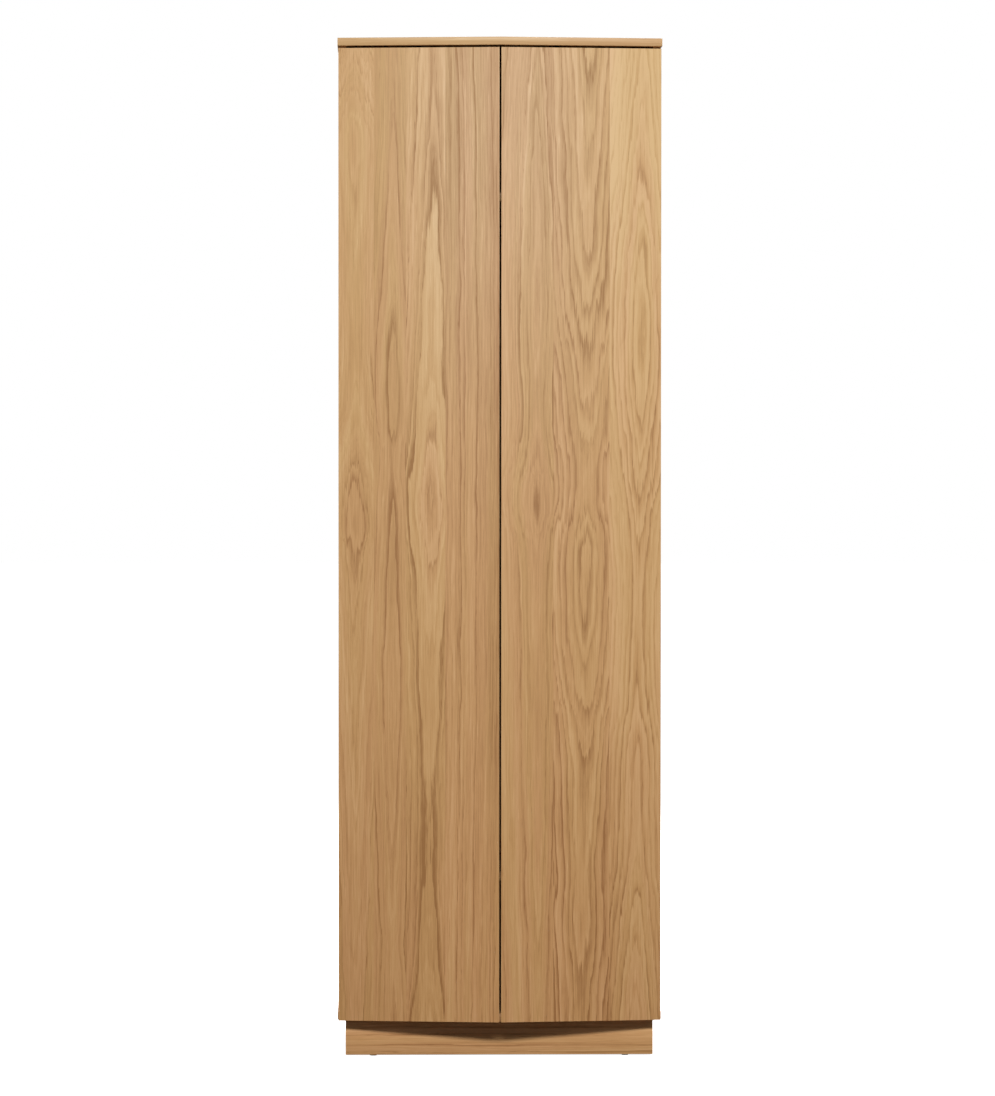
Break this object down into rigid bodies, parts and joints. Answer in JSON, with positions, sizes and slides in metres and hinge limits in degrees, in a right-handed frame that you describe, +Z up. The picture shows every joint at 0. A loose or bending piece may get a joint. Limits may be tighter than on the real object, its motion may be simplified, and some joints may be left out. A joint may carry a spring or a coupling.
{
  "type": "wardrobe",
  "caption": "Tall narrow wardrobe with two plain oak veneered doors that meet in a shallow V front, on a recessed plinth, with a hat shelf, hanging rail and lower shelf inside.",
  "frame": {"origin": "on the floor, at the centre of the outline in plan", "axes": "+Z up, the doors face -Y, +X to the right of someone who faces the doors"},
  "size_m": [0.7, 0.6, 2.2],
  "materials": {
    "oak_board": "oak veneer, matt lacquer",
    "oak_sheet": "thin oak veneered sheet",
    "tongue_wood": "plain sawn beech",
    "plated_steel": "bright nickel plate",
    "rail_steel": "polished plate",
    "grey_plastic": "moulded, fine matt"
  },
  "bodies": {
    "carcass": {"back_panel": "oak_sheet", "bottom_panel": "oak_board", "fixing_strip": "oak_board", "hanging_rail": "rail_steel", "hat_shelf": "oak_board", "left_hinge_arm_1": "plated_steel", "left_hinge_arm_2": "plated_steel", "left_hinge_arm_3": "plated_steel", "left_hinge_arm_4": "plated_steel", "left_hinge_plate_1": "plated_steel", "left_hinge_plate_2": "plated_steel", "left_hinge_plate_3": "plated_steel", "left_hinge_plate_4": "plated_steel", "left_latch_housing": "grey_plastic", "left_rail_socket": "plated_steel", "left_side": "oak_board", "loose_tongues": "tongue_wood", "lower_shelf": "oak_board", "plinth_back": "oak_board", "plinth_blocks": "tongue_wood", "plinth_front": "oak_board", "plinth_glides": "grey_plastic", "plinth_left": "oak_board", "plinth_right": "oak_board", "right_hinge_arm_1": "plated_steel", "right_hinge_arm_2": "plated_steel", "right_hinge_arm_3": "plated_steel", "right_hinge_arm_4": "plated_steel", "right_hinge_plate_1": "plated_steel", "right_hinge_plate_2": "plated_steel", "right_hinge_plate_3": "plated_steel", "right_hinge_plate_4": "plated_steel", "right_latch_housing": "grey_plastic", "right_rail_socket": "plated_steel", "right_side": "oak_board", "shelf_pins": "plated_steel", "top_panel": "oak_board"},
    "left_door_leaf": {"left_door": "oak_board", "left_hinge_cup_1": "plated_steel", "left_hinge_cup_2": "plated_steel", "left_hinge_cup_3": "plated_steel", "left_hinge_cup_4": "plated_steel", "left_strike_plate": "plated_steel"},
    "left_inner_linkage": {"left_inner_links": "plated_steel"},
    "left_outer_linkage": {"left_outer_links": "plated_steel"},
    "left_push_plunger": {"left_plunger": "grey_plastic"},
    "right_door_leaf": {"right_door": "oak_board", "right_hinge_cup_1": "plated_steel", "right_hinge_cup_2": "plated_steel", "right_hinge_cup_3": "plated_steel", "right_hinge_cup_4": "plated_steel", "right_strike_plate": "plated_steel"},
    "right_inner_linkage": {"right_inner_links": "plated_steel"},
    "right_outer_linkage": {"right_outer_links": "plated_steel"},
    "right_push_plunger": {"right_plunger": "grey_plastic"}
  },
  "joints": [
    {"name": "left_door_swing", "type": "hinge", "parent": "left_inner_linkage", "child": "left_door_leaf", "pos_m": [-0.33565, -0.24434, 1.129], "axis": [0, 0, -1], "range_deg": [0, 133]},
    {"name": "left_inner_link_turn", "type": "hinge", "parent": "carcass", "child": "left_inner_linkage", "pos_m": [-0.31726, -0.24792, 1.129], "axis": [0, 0, 1], "range_deg": [0, 38]},
    {"name": "left_outer_link_turn", "type": "hinge", "parent": "carcass", "child": "left_outer_linkage", "pos_m": [-0.31115, -0.23257, 1.129], "axis": [0, 0, 1], "range_deg": [0, 30.27]},
    {"name": "left_plunger_slide", "type": "slide", "parent": "carcass", "child": "left_push_plunger", "axis": [-0.1275, -0.9918, 0], "range_m": [0, 0.014]},
    {"name": "right_door_swing", "type": "hinge", "parent": "right_inner_linkage", "child": "right_door_leaf", "pos_m": [0.33565, -0.24434, 1.129], "axis": [0, 0, 1], "range_deg": [0, 133]},
    {"name": "right_inner_link_turn", "type": "hinge", "parent": "carcass", "child": "right_inner_linkage", "pos_m": [0.31726, -0.24792, 1.129], "axis": [0, 0, -1], "range_deg": [0, 38]},
    {"name": "right_outer_link_turn", "type": "hinge", "parent": "carcass", "child": "right_outer_linkage", "pos_m": [0.31115, -0.23257, 1.129], "axis": [0, 0, -1], "range_deg": [0, 30.27]},
    {"name": "right_plunger_slide", "type": "slide", "parent": "carcass", "child": "right_push_plunger", "axis": [0.1275, -0.9918, 0], "range_m": [0, 0.014]}
  ],
  "couplings": [
    {"joint": "left_inner_link_turn", "follows": "left_door_swing", "ratio": 0.28571},
    {"joint": "left_outer_link_turn", "follows": "left_door_swing", "ratio": 0.22757},
    {"joint": "left_plunger_slide", "follows": "left_door_swing", "m_per_rad": 0.0060311},
    {"joint": "right_inner_link_turn", "follows": "right_door_swing", "ratio": 0.28571},
    {"joint": "right_outer_link_turn", "follows": "right_door_swing", "ratio": 0.22757},
    {"joint": "right_plunger_slide", "follows": "right_door_swing", "m_per_rad": 0.0060311}
  ]
}
